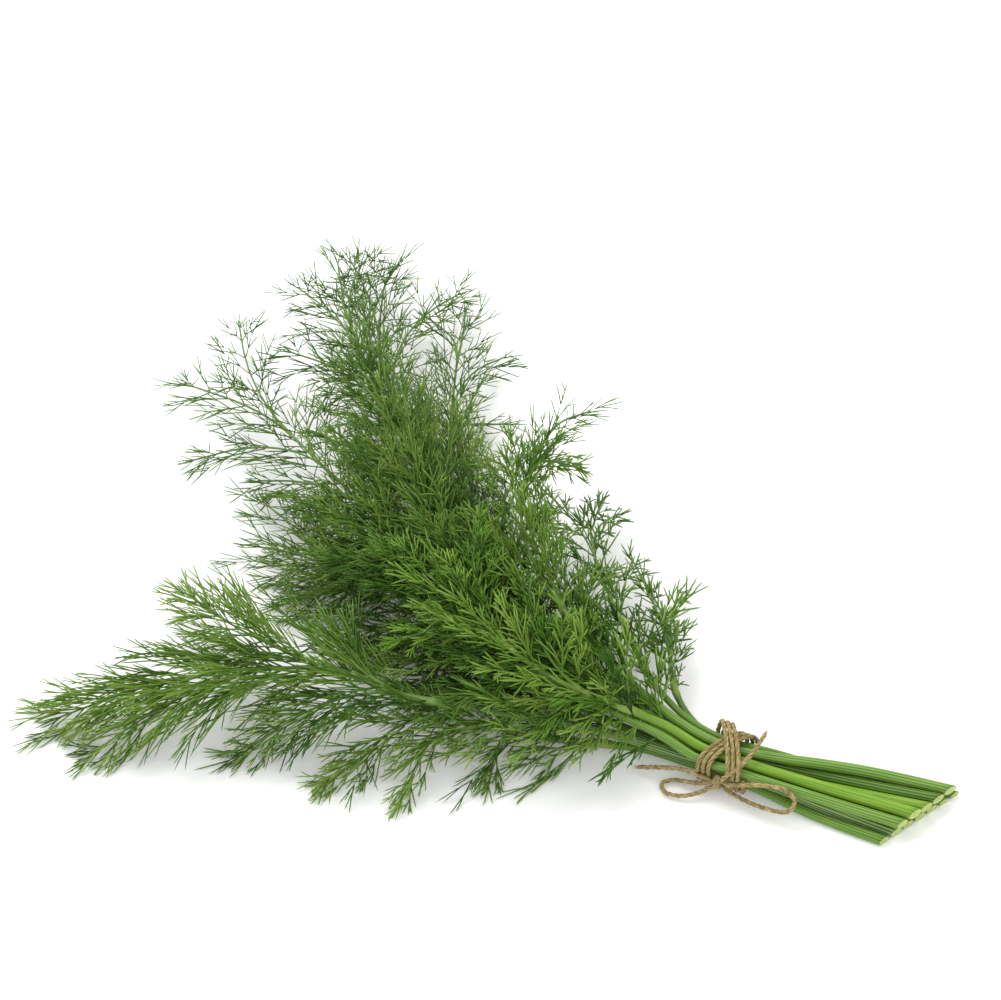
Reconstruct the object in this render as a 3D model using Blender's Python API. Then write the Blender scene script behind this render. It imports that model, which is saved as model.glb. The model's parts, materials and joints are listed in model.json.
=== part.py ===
"""A bunch of cut dill, lying on a table and tied with jute twine.

Twelve stems lie side by side through the tie. Each is one grown piece: a stem, the fronds that
leave it and the needle leaves along them. The layout is planned in millimetres from the tie,
with +X along the stems to their cut ends, +Z up and the table at z = 0.
"""
import math
import random

import bmesh
import bpy
import numpy as np
from mathutils import Matrix, Vector

MM = 0.001
TIE_AT = np.array((84.7, -41.7, 0.0))   # the tie, from the bunch's bottom centre

GAP = 0.3            # clearance between neighbouring pieces
STEP = 14.0          # distance between the points of a stem or frond
ROW_PITCH = 3.0      # height between the rows of stems in the tie
ROW_LEAN = 0.9       # each row lies this much nearer the front than the one under it
TIE_HALF = 9.0       # the stems run straight this far on both sides of the tie
CUT_NEAR = 56.0      # from the tie to the nearest cut end
CUT_SLANT = 0.6      # how the slanting cut runs back across the bunch
CUT_PITCH = 4.1      # distance between stems at the cut ends
FLARE = 1.24         # how much thicker a stem is at its cut end than in the tie
CUT_FIRST = -6.0     # sideways place of the front cut end
FLAT = 0.3           # depth of the flat where a cut end rests on the table
END_NEAR = 0.05      # corners this near to a stem's end plane belong to its end

TWINE = 1.55         # diameter of the twine
TURN_PITCH = 1.8     # distance between neighbouring turns
TURNS = 3            # crossed double turns
TURN_SPREAD = 5.0    # how far the crossed turns swing along the stems
CROSS_LIFT = 1.75    # how far the upper turns ride over the lower ones
SLACK = 0.3          # extra room between the turns and the stems
TIE_FLOOR = TWINE + 2 * GAP + SLACK   # the stems lie on the turns under them
KNOT_AT = (0.4, -10.2, 6.8)

NEEDLE = 0.42        # base radius of a needle leaf
PAIR_PITCH = 13.0    # distance between pairs of needle leaves on a stem's end frond
SIDE_PITCH = 15.0    # and on a side frond
TABLE = 0.05         # the lowest that a needle leaf reaches
FIRST_LEAN = 52.0    # angle of the lowest needle leaves to their frond
LAST_LEAN = 28.0     # angle of the needle leaves at the tip
LEAF_SEED = 7

GREEN = {"deep": (0.030, 0.090, 0.018), "mid": (0.060, 0.160, 0.026), "bright": (0.130, 0.290, 0.035)}
JUTE = (0.330, 0.235, 0.110)

# Each stem: row in the tie, radius, layer at the cut, order at the cut, colour, where its end frond
# starts, its route from the tie to its tip, and its side fronds as (distance from the tie, tip).
STEMS = {
    "B": dict(row=0, radius=1.4, layer=0, order=0, green="mid", frond=62,
              route=[(-28, -5, 4), (-46, -11, 5), (-66, -19, 9), (-84, -23, 12), (-99, -31, 12),
                     (-107, -44, 7), (-115, -55, 2)],
              sides=[(84, (-91, -54, 1)), (66, (-68, -36, 1)), (44, (-58, -22, 2))]),
    "D": dict(row=0, radius=1.45, layer=0, order=2, green="deep", frond=100,
              route=[(-45, -1, 8), (-90, 8, 11), (-121, 17, 13), (-141, 17, 13), (-160, 21, 9),
                     (-178, 22, 4)],
              sides=[(124, (-182, 37, 9)), (112, (-160, 5, 3)), (88, (-124, -6, 5)),
                     (64, (-104, -14, 5))]),
    "F": dict(row=0, radius=1.45, layer=0, order=3, green="deep", frond=106,
              route=[(-46, 7, 10), (-104, 33, 19), (-146, 75, 22), (-168, 104, 20), (-183, 140, 13),
                     (-185, 156, 9)],
              sides=[(190, (-160, 154, 6)), (138, (-168, 82, 34)), (208, (-200, 148, 14)),
                     (100, (-132, 62, 28))]),
    "G": dict(row=0, radius=1.4, layer=0, order=4, green="mid", frond=98,
              route=[(-45, 12, 7), (-84, 33, 11), (-126, 73, 12), (-143, 110, 12), (-149, 130, 9),
                     (-155, 147, 5)],
              sides=[(172, (-134, 134, 4)), (154, (-124, 106, 2)), (124, (-146, 84, 20)),
                     (190, (-164, 136, 9))]),
    "A": dict(row=1, radius=1.6, layer=0, order=1, green="mid", frond=98,
              route=[(-40, -8, 10), (-74, -20, 18), (-102, -29, 23), (-119, -28, 24), (-150, -38, 23),
                     (-180, -52, 15), (-196, -62, 9), (-206, -68, 4)],
              sides=[(124, (-190, -75, 2)), (126, (-187, -12, 14)), (92, (-146, -56, 1)),
                     (108, (-128, -18, 30))]),
    "C": dict(row=1, radius=1.5, layer=1, order=3, green="deep", frond=130,
              route=[(-44, 2, 13), (-90, 10, 20), (-127, 29, 23), (-164, 49, 22), (-183, 60, 20),
                     (-200, 68, 16), (-218, 73, 11), (-231, 77, 6)],
              sides=[(168, (-214, 48, 4)), (196, (-222, 103, 13)), (136, (-187, 44, 10)),
                     (178, (-176, 76, 24))]),
    "E": dict(row=1, radius=1.5, layer=1, order=4, green="deep", frond=118,
              route=[(-45, 5, 16), (-92, 16, 26), (-125, 42, 30), (-156, 80, 28), (-184, 113, 22),
                     (-203, 144, 14)],
              sides=[(166, (-197, 92, 22)), (202, (-209, 124, 18)), (128, (-166, 52, 34)),
                     (226, (-195, 152, 12))]),
    "J": dict(row=1, radius=1.1, layer=0, order=6, green="mid", frond=26,
              route=[(-15, 8, 8), (-23, 14, 9), (-31, 28, 12), (-36, 42, 11), (-39, 56, 7)],
              sides=[(24, (-40, 46, 4)), (36, (-57, 60, 12)), (40, (-45, 47, 15))]),
    "M": dict(row=2, radius=1.45, layer=1, order=1, green="deep", frond=86,
              route=[(-26, -4, 15), (-60, -5, 22), (-84, 2, 28), (-108, 14, 30), (-135, 24, 26),
                     (-160, 34, 18)],
              sides=[(54, (-93, -21, 14)), (72, (-104, -3, 40)), (102, (-142, 12, 24)),
                     (126, (-157, 42, 24))]),
    "L": dict(row=2, radius=1.65, layer=1, order=2, green="bright", frond=66,
              route=[(-26, -2, 16), (-54, -8, 27), (-76, -6, 36), (-98, 3, 40), (-124, 15, 37)],
              sides=[(54, (-78, 15, 40)), (78, (-108, -16, 33)), (90, (-102, 37, 40)),
                     (42, (-58, 18, 28))]),
    "H": dict(row=2, radius=1.5, layer=1, order=5, green="bright", frond=60,
              route=[(-36, 7, 18), (-63, 19, 26), (-87, 39, 32), (-96, 61, 34), (-97, 79, 33),
                     (-95, 95, 30), (-90, 103, 27)],
              sides=[(108, (-117, 72, 26)), (124, (-86, 80, 25)), (72, (-88, 58, 22)),
                     (52, (-62, 44, 20))]),
    "I": dict(row=2, radius=1.1, layer=0, order=5, green="mid", frond=46,
              route=[(-28, 11, 14), (-48, 29, 18), (-63, 46, 19), (-73, 62, 18), (-77, 79, 11)],
              sides=[(72, (-90, 70, 18)), (58, (-56, 62, 8)), (88, (-70, 77, 10))]),
}


# ---- routes of the stems and fronds --------------------------------------------------------

def smooth_route(points, step):
    """A smooth curve through the points, read at even steps."""
    p = np.array(points, float)
    p = np.vstack((2 * p[0] - p[1], p, 2 * p[-1] - p[-2]))
    fine = []
    for a, b, c, d in zip(p, p[1:], p[2:], p[3:]):
        k = math.sqrt(np.linalg.norm(c - b))
        m1 = (c - a) / (math.sqrt(np.linalg.norm(b - a)) + k) * k
        m2 = (d - b) / (math.sqrt(np.linalg.norm(d - c)) + k) * k
        for u in np.linspace(0, 1, 16, endpoint=False):
            h = (2 * u**3 - 3 * u**2 + 1, u**3 - 2 * u**2 + u, 3 * u**2 - 2 * u**3, u**3 - u**2)
            fine.append(h[0] * b + h[1] * m1 + h[2] * c + h[3] * m2)
    fine = np.array(fine + [p[-2]])
    run = np.concatenate(([0], np.cumsum(np.sqrt((np.diff(fine, axis=0)**2).sum(1)))))
    at = np.linspace(0, run[-1], max(2, round(run[-1] / step)) + 1)
    return np.stack([np.interp(at, run, fine[:, k]) for k in range(3)], 1)


def tie_places():
    """Where each stem passes through the tie: rows of stems laid side by side."""
    places = {}
    for row in range(3):
        names = [name for name in STEMS if STEMS[name]["row"] == row]
        width = sum(2 * STEMS[name]["radius"] + GAP for name in names)
        y = -width / 2 - ROW_LEAN * (row - 1)
        for name in names:
            r = STEMS[name]["radius"]
            places[name] = (y + GAP / 2 + r, TIE_FLOOR + 1.5 + row * ROW_PITCH)
            y += 2 * r + GAP
    return places


def stem_route(name, place):
    """A stem from its cut end, through the tie, to the tip of its end frond."""
    stem = STEMS[name]
    y, z = place
    cut_y = CUT_FIRST + (stem["order"] + stem["layer"] / 2) * CUT_PITCH
    cut_x = CUT_NEAR + (cut_y - CUT_FIRST) * CUT_SLANT
    wide = stem["radius"] * FLARE
    cut_z = wide - FLAT if stem["layer"] == 0 else wide + 3.4
    middle = (cut_x * 0.5, y + (cut_y - y) * 0.42, z + (cut_z - z) * 0.55)
    straight = [(TIE_HALF, y, z), (-TIE_HALF, y, z)]
    return smooth_route([(cut_x, cut_y, cut_z), middle] + straight + stem["route"], STEP)


def side_route(root, along, tip):
    """A frond that leaves its stem along it, bends away and droops to its tip."""
    tip = np.array(tip, float)
    reach = np.linalg.norm(tip - root)
    swing = root + along * reach * 0.42 + np.array((0, 0, 0.10 * reach))
    u = np.linspace(0, 1, max(3, round(reach / STEP) + 1))[:, None]
    return (1 - u)**2 * root + 2 * u * (1 - u) * swing + u**2 * tip


def lay_out():
    """Every stem and frond as a dict: its stem's name, points, radii and where leaves start."""
    places = tie_places()
    axes = []
    for name, stem in STEMS.items():
        points = stem_route(name, places[name])
        step = np.linalg.norm(points[1] - points[0])
        at_tie = int(np.argmin(np.abs(points[:, 0]) + 999 * (np.arange(len(points)) > 9)))
        run = (np.arange(len(points)) - at_tie) * step
        fade = np.clip((run - 20) / (run[-1] - 20), 0, 1)**0.8
        flare = 1 + (FLARE - 1) * np.clip((-run - TIE_HALF) / 30, 0, 1)
        radii = (stem["radius"] + (0.5 - stem["radius"]) * fade) * flare
        axes.append(dict(stem=name, points=points, radii=radii, run=run, leafy=stem["frond"],
                         parent=None, at=at_tie))
        main = len(axes) - 1
        for distance, tip in stem["sides"]:
            i = min(at_tie + round(distance / step), len(points) - 2)
            along = points[i + 1] - points[i]
            side = side_route(points[i], along / np.linalg.norm(along), tip)
            length = np.linalg.norm(np.diff(side, axis=0), axis=1).sum()
            u = np.linspace(0, 1, len(side))
            thick = min(1.0, radii[i] * 0.7)
            axes.append(dict(stem=name, points=side, radii=thick + (0.42 - thick) * u,
                             run=u * length, leafy=0.25 * length, parent=(main, i), at=0))
    return axes


def nearest(p, q, a, b):
    """For segment pairs p-q and a-b: the nearest places along each, and the step between them."""
    d1, d2, r = q - p, b - a, p - a
    aa, ee, ff = (d1 * d1).sum(-1), (d2 * d2).sum(-1), (d2 * r).sum(-1)
    cc, bb = (d1 * r).sum(-1), (d1 * d2).sum(-1)
    den = aa * ee - bb * bb
    s = np.where(den > 1e-9, np.clip((bb * ff - cc * ee) / np.maximum(den, 1e-9), 0, 1), 0.5)
    t = (bb * s + ff) / ee
    s = np.where(t < 0, np.clip(-cc / aa, 0, 1), np.where(t > 1, np.clip((bb - cc) / aa, 0, 1), s))
    t = np.clip(t, 0, 1)
    return s, t, (p + d1 * s[..., None]) - (a + d2 * t[..., None])


def settle(axes):
    """Ease the stems and fronds apart until all of them just clear one another."""
    rounds = 240
    count = [len(axis["points"]) for axis in axes]
    start = np.concatenate(([0], np.cumsum(count)))
    points = np.concatenate([axis["points"] for axis in axes])
    radii = np.concatenate([axis["radii"] for axis in axes])
    run = np.concatenate([axis["run"] for axis in axes])
    owner = np.repeat(np.arange(len(axes)), count)
    names = list(STEMS)
    stem = np.array([names.index(axes[k]["stem"]) for k in owner])
    is_main = np.array([axes[k]["parent"] is None for k in owner])
    home = points.copy()
    last = np.isin(np.arange(len(points)), start[1:] - 1)
    seg = np.nonzero(~last)[0]
    inner = np.nonzero(~last & ~np.isin(np.arange(len(points)), start[:-1]))[0]
    in_tie = is_main & (np.abs(run) < TIE_HALF + 5)
    floor = np.where(is_main & (run < 0), radii - FLAT, radii) + in_tie * TIE_FLOOR
    free = np.where(in_tie, 0.5, 1.0)[:, None]
    size = np.sqrt(((points[seg + 1] - points[seg])**2).sum(1))
    roots = np.array([(start[k], start[axis["parent"][0]] + axis["parent"][1])
                      for k, axis in enumerate(axes) if axis["parent"]])
    for turn in range(rounds):
        if turn % 12 == 0:
            middle = (points[seg] + points[seg + 1]) / 2
            apart = np.sqrt(((middle[:, None] - middle[None])**2).sum(-1))
            near = np.triu(apart < STEP + 8, 1)
            same = stem[seg][:, None] == stem[seg][None]
            beyond = (is_main | (run > STEP))[seg]
            other = (owner[seg][:, None] != owner[seg][None]) & beyond[:, None] & beyond[None]
            i, j = np.nonzero(near & (~same | other))
            i, j = seg[i], seg[j]
        s, t, gap = nearest(points[i], points[i + 1], points[j], points[j + 1])
        dist = np.sqrt((gap * gap).sum(1))
        want = radii[i] * (1 - s) + radii[i + 1] * s + radii[j] * (1 - t) + radii[j + 1] * t
        want += 1.35 * GAP
        hit = dist < want
        push = np.zeros_like(points)
        share = np.zeros(len(points))
        way = np.where(dist[hit, None] > 0.001, gap[hit] / np.maximum(dist[hit, None], 0.001),
                       (0.0, 0.0, 1.0))
        depth = (want - dist)[hit] * 0.5
        s, t = s[hit], t[hit]
        for at, sign, part in ((i[hit], 1, 1 - s), (i[hit] + 1, 1, s),
                               (j[hit], -1, 1 - t), (j[hit] + 1, -1, t)):
            np.add.at(push, at, way * (sign * depth * part)[:, None])
            np.add.at(share, at, part)
        points = points + 1.2 * push / np.maximum(share, 1)[:, None] * free
        ease = max(0.0, 1 - turn / (0.7 * rounds))
        points = points + (home - points) * 0.03 * ease
        shift = points - home
        smooth = (shift[inner - 1] + shift[inner + 1]) / 2 - shift[inner]
        points[inner] += 0.25 * (0.2 + ease) * smooth
        span = points[seg + 1] - points[seg]
        long = np.sqrt((span * span).sum(1))
        fix = span * ((long - size) / long * 0.3)[:, None]
        np.add.at(points, seg, fix)
        np.add.at(points, seg + 1, -fix)
        points[:, 2] = np.maximum(points[:, 2], floor)
        points[roots[:, 0]] = points[roots[:, 1]]
    for k, axis in enumerate(axes):
        axis["points"] = points[start[k]:start[k + 1]]
    return axes


# ---- needle leaves -------------------------------------------------------------------------

def unit(v):
    return v / np.linalg.norm(v)


def point_on(axis, distance):
    """Place, direction and radius of an axis at a distance along it."""
    run, points = axis["run"], axis["points"]
    i = int(np.clip(np.searchsorted(run, distance) - 1, 0, len(points) - 2))
    u = (distance - run[i]) / (run[i + 1] - run[i])
    place = points[i] + u * (points[i + 1] - points[i])
    radius = axis["radii"][i] + u * (axis["radii"][i + 1] - axis["radii"][i])
    return place, unit(points[i + 1] - points[i]), radius


def leaning(along, lean, spin):
    """A direction that leans from along by one angle, turned round it by another."""
    side = unit(np.cross(along, (0.0, 0.0, 1.0)))
    over = np.cross(side, along)
    out = side * math.cos(spin) + over * math.sin(spin)
    return along * math.cos(lean) + out * math.sin(lean)


class Space:
    """The rods placed so far, to keep each new needle clear of other stems' pieces."""

    def __init__(self, axes, twine):
        self.rods = []
        for axis in axes:
            for a, b, r in zip(axis["points"], axis["points"][1:], axis["radii"]):
                self.rods.append((a, b, r, list(STEMS).index(axis["stem"])))
        for a, b in zip(twine, twine[1:]):
            self.rods.append((a, b, TWINE / 2, -1))
        self.pack()

    def pack(self):
        self.a, self.b, self.r, self.stem = (np.array(part) for part in zip(*self.rods))

    def clear(self, a, b, r, stem):
        other = self.stem != stem
        middle, half = (a + b) / 2, np.linalg.norm(b - a) / 2
        near = other & (np.abs((self.a + self.b) / 2 - middle).max(1) < half + STEP)
        if not near.any():
            return True
        gap = nearest(a[None], b[None], self.a[near], self.b[near])[2]
        return bool((np.sqrt((gap * gap).sum(1)) > self.r[near] + r + GAP).all())

    def add(self, a, b, r, stem):
        self.rods.append((a, b, r, stem))
        self.pack()


def try_needle(space, root, along, lean, spin, length, radius, stem):
    """Place a needle as near to the wished direction as its neighbours and the table allow."""
    for shorter in (1.0, 0.72, 0.5):
        for turn, tuck in ((0, 0), (25, 0), (-25, 0), (0, 14), (50, 6), (-50, 6), (80, 0), (-80, 0)):
            way = leaning(along, math.radians(lean - tuck), spin + math.radians(turn))
            tip = root + way * length * shorter
            tip[2] = max(tip[2], TABLE)
            if space.clear(root, tip, radius, stem):
                space.add(root, tip, radius, stem)
                return root, tip, radius
    return None


def needles(axis, space, rng):
    """Pairs of needle leaves along a frond, the longest ones forked, and a fan at its tip."""
    stem = list(STEMS).index(axis["stem"])
    first, last = axis["leafy"], axis["run"][-1]
    main = axis["parent"] is None
    longest = min(31.0, 12 + 0.26 * (last - first)) if main else min(25.0, 9 + 0.26 * (last - first))
    pairs = max(3, round((last - first) / (PAIR_PITCH if main else SIDE_PITCH)))
    placed = []
    for k in range(pairs):
        u = (k + 0.35) / pairs
        root, along, radius = point_on(axis, first + u * (last - first))
        spin = (0.55 if k % 2 else -0.35) + rng.uniform(-0.3, 0.3)
        lean = FIRST_LEAN + (LAST_LEAN - FIRST_LEAN) * u + rng.uniform(-5, 5)
        for side in (0.0, math.pi):
            length = longest * (1 - 0.62 * u**1.3) * rng.uniform(0.85, 1.1)
            base = min(NEEDLE, radius * 0.72)
            needle = try_needle(space, root, along, lean, spin + side, length, base, stem)
            if needle is None:
                continue
            placed.append(needle)
            if not main or length < 0.62 * longest:
                continue
            way = unit(needle[1] - needle[0])
            for at, fork in ((0.42, rng.choice((0.0, math.pi))),):
                foot = needle[0] + (needle[1] - needle[0]) * at
                thread = try_needle(space, foot, way, 38, fork, 0.42 * length, base * 0.5, stem)
                if thread:
                    placed.append(thread)
    root, along, radius = point_on(axis, last - 1.5)
    for spin in (0.3, 2.4, 4.5):
        needle = try_needle(space, root, along, 22, spin, 0.34 * longest, radius * 0.7, stem)
        if needle:
            placed.append(needle)
    return placed


# ---- the twine -----------------------------------------------------------------------------

def wrap_outline(circles, clear):
    """The line that a taut twine takes round the stems, from the front over the top."""
    hull = []
    for k in range(72):
        angle = math.pi - 2 * math.pi * k / 72
        n = np.array((math.cos(angle), math.sin(angle)))
        y, z, r = max(circles, key=lambda c: c[0] * n[0] + c[1] * n[1] + c[2])
        hull.append(np.array((y, z)) + n * (r + clear))
    hull.append(hull[0])
    hull = np.array(hull)
    run = np.concatenate(([0], np.cumsum(np.sqrt((np.diff(hull, axis=0)**2).sum(1)))))
    return lambda u: np.array([np.interp((u % 1.0) * run[-1], run, hull[:, k]) for k in (0, 1)])


def ease_step(u):
    u = min(max(u, 0.0), 1.0)
    return u * u * (3 - 2 * u)


def wraps(axes):
    """The crossed turns: each goes over the top one way, and back the other way on the next."""
    circles = []
    for axis in axes:
        if axis["parent"] is None:
            points, radii = axis["points"][::-1], axis["radii"][::-1]
            for x in np.linspace(-TIE_HALF, TIE_HALF, 5):
                circles.append([np.interp(x, points[:, 0], v) for v in (points[:, 1], points[:, 2], radii)])
    under = wrap_outline(circles, GAP + SLACK + TWINE / 2)
    over = wrap_outline(circles, GAP + SLACK + TWINE / 2 + CROSS_LIFT)
    out = (TURNS - 1) / 2 * TURN_PITCH
    points = []
    steps = 20
    for turn in range(2 * TURNS):
        upper = turn % 2 == 0
        shift = (turn // 2) * TURN_PITCH - out
        front = TURN_SPREAD + shift if upper else -TURN_SPREAD + shift
        back = -front + 2 * shift
        after = -TURN_SPREAD + shift if upper else TURN_SPREAD + shift + TURN_PITCH
        for k in range(steps):
            u = k / steps
            if u < 0.5:
                x = front + (back - front) * ease_step((u - 0.02) / 0.44)
            else:
                x = back + (after - back) * ease_step((u - 0.5) / 0.5)
            lift = 0.0
            if upper:
                lift = ease_step((u - 0.02) / 0.10) * ease_step((0.48 - u) / 0.10)
            y, z = under(u) * (1 - lift) + over(u) * lift
            points.append((x, y, z))
    points.append((TURN_SPREAD + shift + TURN_PITCH, *under(0.0)))
    return np.array(points)


UPPER = tuple(np.add(KNOT_AT, (0.0, 0.0, 1.2)))
LOWER = tuple(np.add(KNOT_AT, (0.0, 0.0, -1.2)))
BOW = {
    # Each half of the bow is a tail that comes out of the knot, and a loop that leaves the knot's
    # upper half and goes back into its lower half.
    "left_tail": [KNOT_AT, (-5, -10.4, 7.2), (-12, -9.8, 6.6), (-19, -10.6, 4.8), (-26, -12.0, 3.0)],
    "right_tail": [KNOT_AT, (2.0, -10.7, 9.6), (3.8, -9.9, 12.4), (6.6, -7.2, 14.8), (8.8, -1.0, 16.4),
                   (10.0, 6.0, 17.4)],
    "left_loop": [UPPER, (-4.5, -11.2, 4.8), (-10, -11.2, 2.8), (-14, -11.6, 1.9), (-16.9, -14.0, 1.5),
                  (-14.6, -16.8, 1.5), (-9.5, -16.4, 1.8), (-4.5, -13.6, 2.8), LOWER],
    "right_loop": [UPPER, (5.5, -11.0, 9.0), (12, -10.3, 11.6), (18, -9.2, 12.6), (22.6, -8.4, 12.0),
                   (26.2, -9.6, 9.4), (24.2, -12.2, 6.0), (15.5, -12.2, 4.3), (7.5, -11.6, 4.6), LOWER],
}


# ---- making the solids ---------------------------------------------------------------------

def collection(name):
    made = bpy.data.collections.new(name)
    bpy.context.scene.collection.children.link(made)
    return made


def principled(name, colour, roughness):
    material = bpy.data.materials.new(name)
    material.use_nodes = True
    shader = material.node_tree.nodes["Principled BSDF"]
    shader.inputs["Base Color"].default_value = (*colour, 1.0)
    shader.inputs["Roughness"].default_value = roughness
    return material


def slant_end(bm, foot, way):
    """Slide the corners of a stem's end along it, onto the upright plane of the slanting cut."""
    normal = unit(np.array((1.0, -CUT_SLANT, 0.0)))
    for vert in bm.verts:
        place = np.array(vert.co) / MM - TIE_AT
        if abs((place - foot) @ way) < END_NEAR:
            slide = (foot - place) @ normal / (way @ normal)
            vert.co = (place + way * slide + TIE_AT) * MM


def tube(name, points, radii, resolution, home, slanted=False):
    """A tapered tube along points in millimetres, as a closed mesh."""
    curve = bpy.data.curves.new(name, "CURVE")
    curve.dimensions = "3D"
    curve.bevel_depth = max(radii) * MM
    curve.bevel_resolution = resolution
    curve.use_fill_caps = True
    spline = curve.splines.new("POLY")
    spline.points.add(len(points) - 1)
    for spot, place, radius in zip(spline.points, points, radii):
        spot.co = (*((place + TIE_AT) * MM), 1.0)
        spot.radius = radius / max(radii)
    guide = bpy.data.objects.new(name + "_guide", curve)
    home.objects.link(guide)
    bpy.context.view_layer.update()
    shape = guide.evaluated_get(bpy.context.evaluated_depsgraph_get())
    mesh = bpy.data.meshes.new_from_object(shape)
    bm = bmesh.new()
    bm.from_mesh(mesh)
    bmesh.ops.remove_doubles(bm, verts=bm.verts, dist=0.00001)
    if slanted:
        slant_end(bm, points[0], unit(points[0] - points[1]))
    bm.to_mesh(mesh)
    bm.free()
    solid = bpy.data.objects.new(name, mesh)
    solid.matrix_world = guide.matrix_world
    home.objects.link(solid)
    bpy.data.objects.remove(guide)
    return solid


def cone(name, root, tip, radius, home):
    """A three-sided needle from its root to its tip, in millimetres."""
    length = float(np.linalg.norm(tip - root))
    turn = Vector(tip - root).to_track_quat("Z", "Y").to_matrix().to_4x4()
    middle = Matrix.Translation(Vector(((root + tip) / 2 + TIE_AT) * MM))
    bm = bmesh.new()
    bmesh.ops.create_cone(bm, cap_ends=True, segments=3, radius1=radius * MM, radius2=0.0,
                          depth=length * MM, matrix=middle @ turn)
    mesh = bpy.data.meshes.new(name)
    bm.to_mesh(mesh)
    bm.free()
    solid = bpy.data.objects.new(name, mesh)
    home.objects.link(solid)
    return solid


def apply_modifiers(solid):
    shape = solid.evaluated_get(bpy.context.evaluated_depsgraph_get())
    mesh = bpy.data.meshes.new_from_object(shape)
    solid.modifiers.clear()
    solid.data = mesh


def join(solid, repeats):
    """Fuse a collection of solids into one, and remove the collection's own objects."""
    union = solid.modifiers.new("join", "BOOLEAN")
    union.operation = "UNION"
    union.operand_type = "COLLECTION"
    union.collection = repeats
    union.solver = "MANIFOLD"
    bpy.context.view_layer.update()
    apply_modifiers(solid)
    for item in list(repeats.objects):
        bpy.data.objects.remove(item)
    bpy.data.collections.remove(repeats)


def cut(solid, cutter):
    trim = solid.modifiers.new("cut", "BOOLEAN")
    trim.operation = "DIFFERENCE"
    trim.object = cutter
    trim.solver = "MANIFOLD"
    bpy.context.view_layer.update()
    apply_modifiers(solid)


def table_block(home):
    """Everything under the table's surface, to cut the resting flats."""
    bpy.ops.mesh.primitive_cube_add(size=1.0, location=(0, 0, -0.005))
    block = bpy.context.object
    block.name = "under_table"
    block.scale = (0.6, 0.6, 0.01)
    for owner in list(block.users_collection):
        owner.objects.unlink(block)
    home.objects.link(block)
    block.hide_render = True
    block.display_type = "WIRE"
    return block


def make_stem(number, name, axes, space, home, cutter, rng):
    """One grown piece: the stem, its fronds and all their needle leaves."""
    repeats = collection(name + "_leaves")
    body = None
    for k, axis in enumerate(axis for axis in axes if axis["stem"] == name):
        if axis["parent"] is None:
            body = tube(f"dill_stem_{number:02d}", axis["points"], axis["radii"], 1, home, slanted=True)
        else:
            tube(f"frond_{k}", axis["points"], axis["radii"], 0, repeats)
        for j, (root, tip, radius) in enumerate(needles(axis, space, rng)):
            cone(f"needle_{k}_{j}", root, tip, radius, repeats)
    join(body, repeats)
    cut(body, cutter)
    body.data.materials.clear()
    body.data.materials.append(principled(body.name, GREEN[STEMS[name]["green"]], 0.55))
    return body


def make_twine(line, home):
    """The turns, the knot, the two loops and the two tails, as one piece."""
    twine = tube("twine", line, [TWINE / 2] * len(line), 1, home)
    repeats = collection("bow")
    for name, points in BOW.items():
        route = smooth_route(points, 3.0)
        tube(name, route, [TWINE / 2] * len(route), 1, repeats)
    bpy.ops.mesh.primitive_uv_sphere_add(segments=10, ring_count=6, radius=1.0)
    knot = bpy.context.object
    knot.matrix_world = (Matrix.Translation(Vector((KNOT_AT + TIE_AT) * MM))
                         @ Matrix.Diagonal((2.1 * MM, 1.9 * MM, 2.9 * MM, 1.0)))
    for owner in list(knot.users_collection):
        owner.objects.unlink(knot)
    repeats.objects.link(knot)
    join(twine, repeats)
    twine.data.materials.clear()
    twine.data.materials.append(principled("jute", JUTE, 0.9))
    return twine


def main():
    for item in list(bpy.data.objects):
        bpy.data.objects.remove(item)
    home = collection("dill_bunch")
    cutters = collection("cutters")
    cutter = table_block(cutters)
    axes = settle(lay_out())
    line = wraps(axes)
    space = Space(axes, line)
    rng = random.Random(LEAF_SEED)
    for number, name in enumerate(sorted(STEMS), 1):
        make_stem(number, name, axes, space, home, cutter, rng)
    make_twine(line, home)


main()
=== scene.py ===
import json
import math
import random

import bpy
import numpy as np
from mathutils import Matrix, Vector

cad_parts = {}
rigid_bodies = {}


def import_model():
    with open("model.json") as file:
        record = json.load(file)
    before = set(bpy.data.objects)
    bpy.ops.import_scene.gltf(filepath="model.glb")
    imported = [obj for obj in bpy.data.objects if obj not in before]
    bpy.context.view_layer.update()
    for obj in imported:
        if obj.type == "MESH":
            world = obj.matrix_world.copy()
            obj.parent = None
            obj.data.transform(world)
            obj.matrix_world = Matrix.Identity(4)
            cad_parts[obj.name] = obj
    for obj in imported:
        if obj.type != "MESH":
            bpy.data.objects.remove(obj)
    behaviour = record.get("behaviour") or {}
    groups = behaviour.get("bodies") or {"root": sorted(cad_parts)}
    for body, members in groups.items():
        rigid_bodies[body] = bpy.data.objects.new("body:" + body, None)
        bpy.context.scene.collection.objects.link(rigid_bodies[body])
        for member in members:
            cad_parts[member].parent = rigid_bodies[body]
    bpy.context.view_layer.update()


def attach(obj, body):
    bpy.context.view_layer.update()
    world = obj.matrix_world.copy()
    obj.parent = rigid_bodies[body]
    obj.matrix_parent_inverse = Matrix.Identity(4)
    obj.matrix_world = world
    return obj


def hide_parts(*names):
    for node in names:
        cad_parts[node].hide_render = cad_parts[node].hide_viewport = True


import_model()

# ---- Camera -------------------------------------------------------------------------------
# A long lens looks down on the bunch from its front right, as over a work table. Its distance
# leaves white table all round the bunch.
look_at = Vector((-0.0266, 0.0343, 0.0))
turn, rise = math.radians(23), math.radians(50)
back = Vector((math.sin(turn) * math.cos(rise), -math.cos(turn) * math.cos(rise), math.sin(rise)))
distance = 1.28
lens = bpy.data.cameras.new("camera")
lens.lens = 135.0
lens.sensor_width = 36.0
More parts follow.
